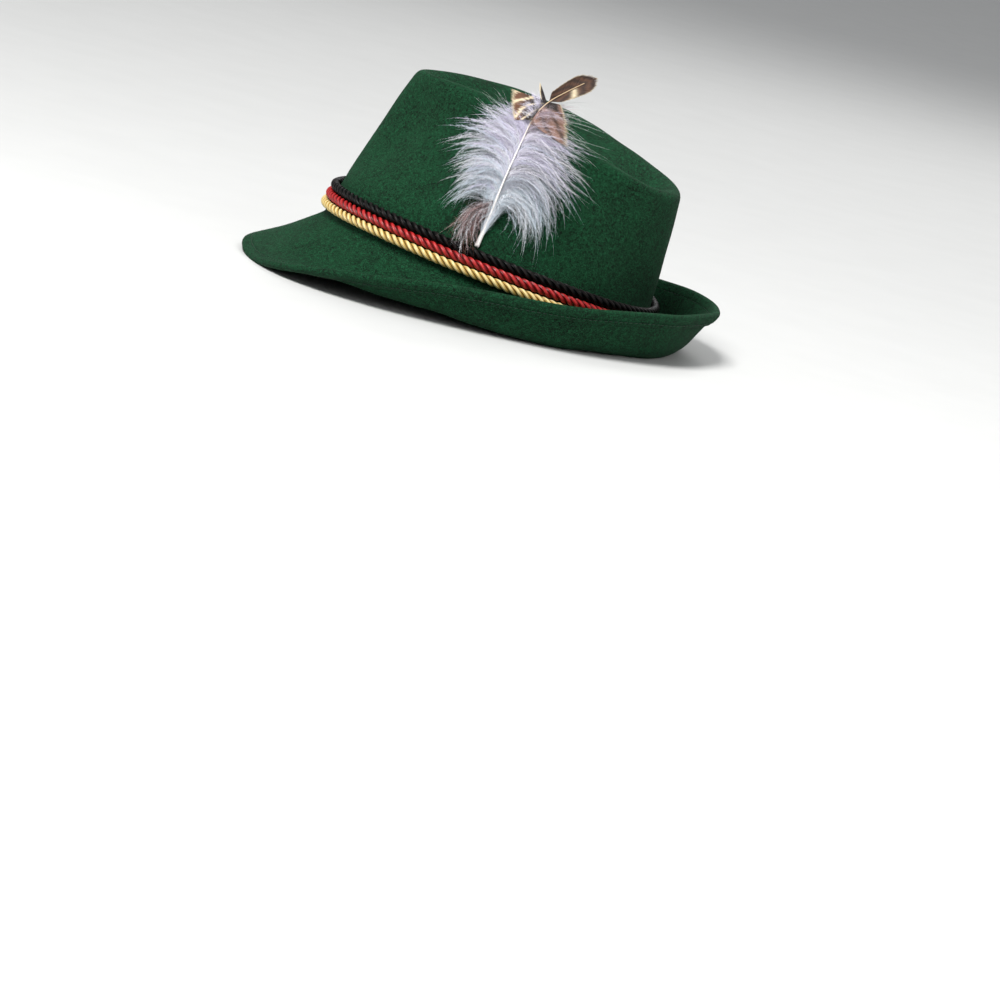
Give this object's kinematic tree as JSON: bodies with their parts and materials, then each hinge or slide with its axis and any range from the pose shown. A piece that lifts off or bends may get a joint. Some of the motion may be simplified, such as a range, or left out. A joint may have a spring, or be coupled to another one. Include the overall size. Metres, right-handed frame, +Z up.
{
  "type": "tyrolean hat",
  "caption": "Felt hat with a pinched crown, a brim snapped down in front and rolled up behind, stacked twisted cords round the crown and a downy feather with a barred tip.",
  "frame": {"origin": "middle of the bottom of the bounding box, on the surface the hat rests on", "axes": "+X towards the back of the hat, -Y towards the side that carries the feather (the wearer's left), +Z up"},
  "size_m": [0.2864, 0.254, 0.1487],
  "materials": {
    "felt": "matte green wool felt with a short nap",
    "cord_gold": "glossy gold twisted rayon cord",
    "cord_red": "glossy red twisted rayon cord",
    "cord_black": "glossy black twisted rayon cord",
    "down": "soft white down with a faint lavender tint and an ivory shaft",
    "vane": "brown and cream barred feather vane"
  },
  "bodies": {
    "root": {"felt_body": "felt", "cord_gold": "cord_gold", "cord_red": "cord_red", "cord_black": "cord_black", "feather_plume": "down", "feather_vane": "vane"}
  },
  "joints": []
}
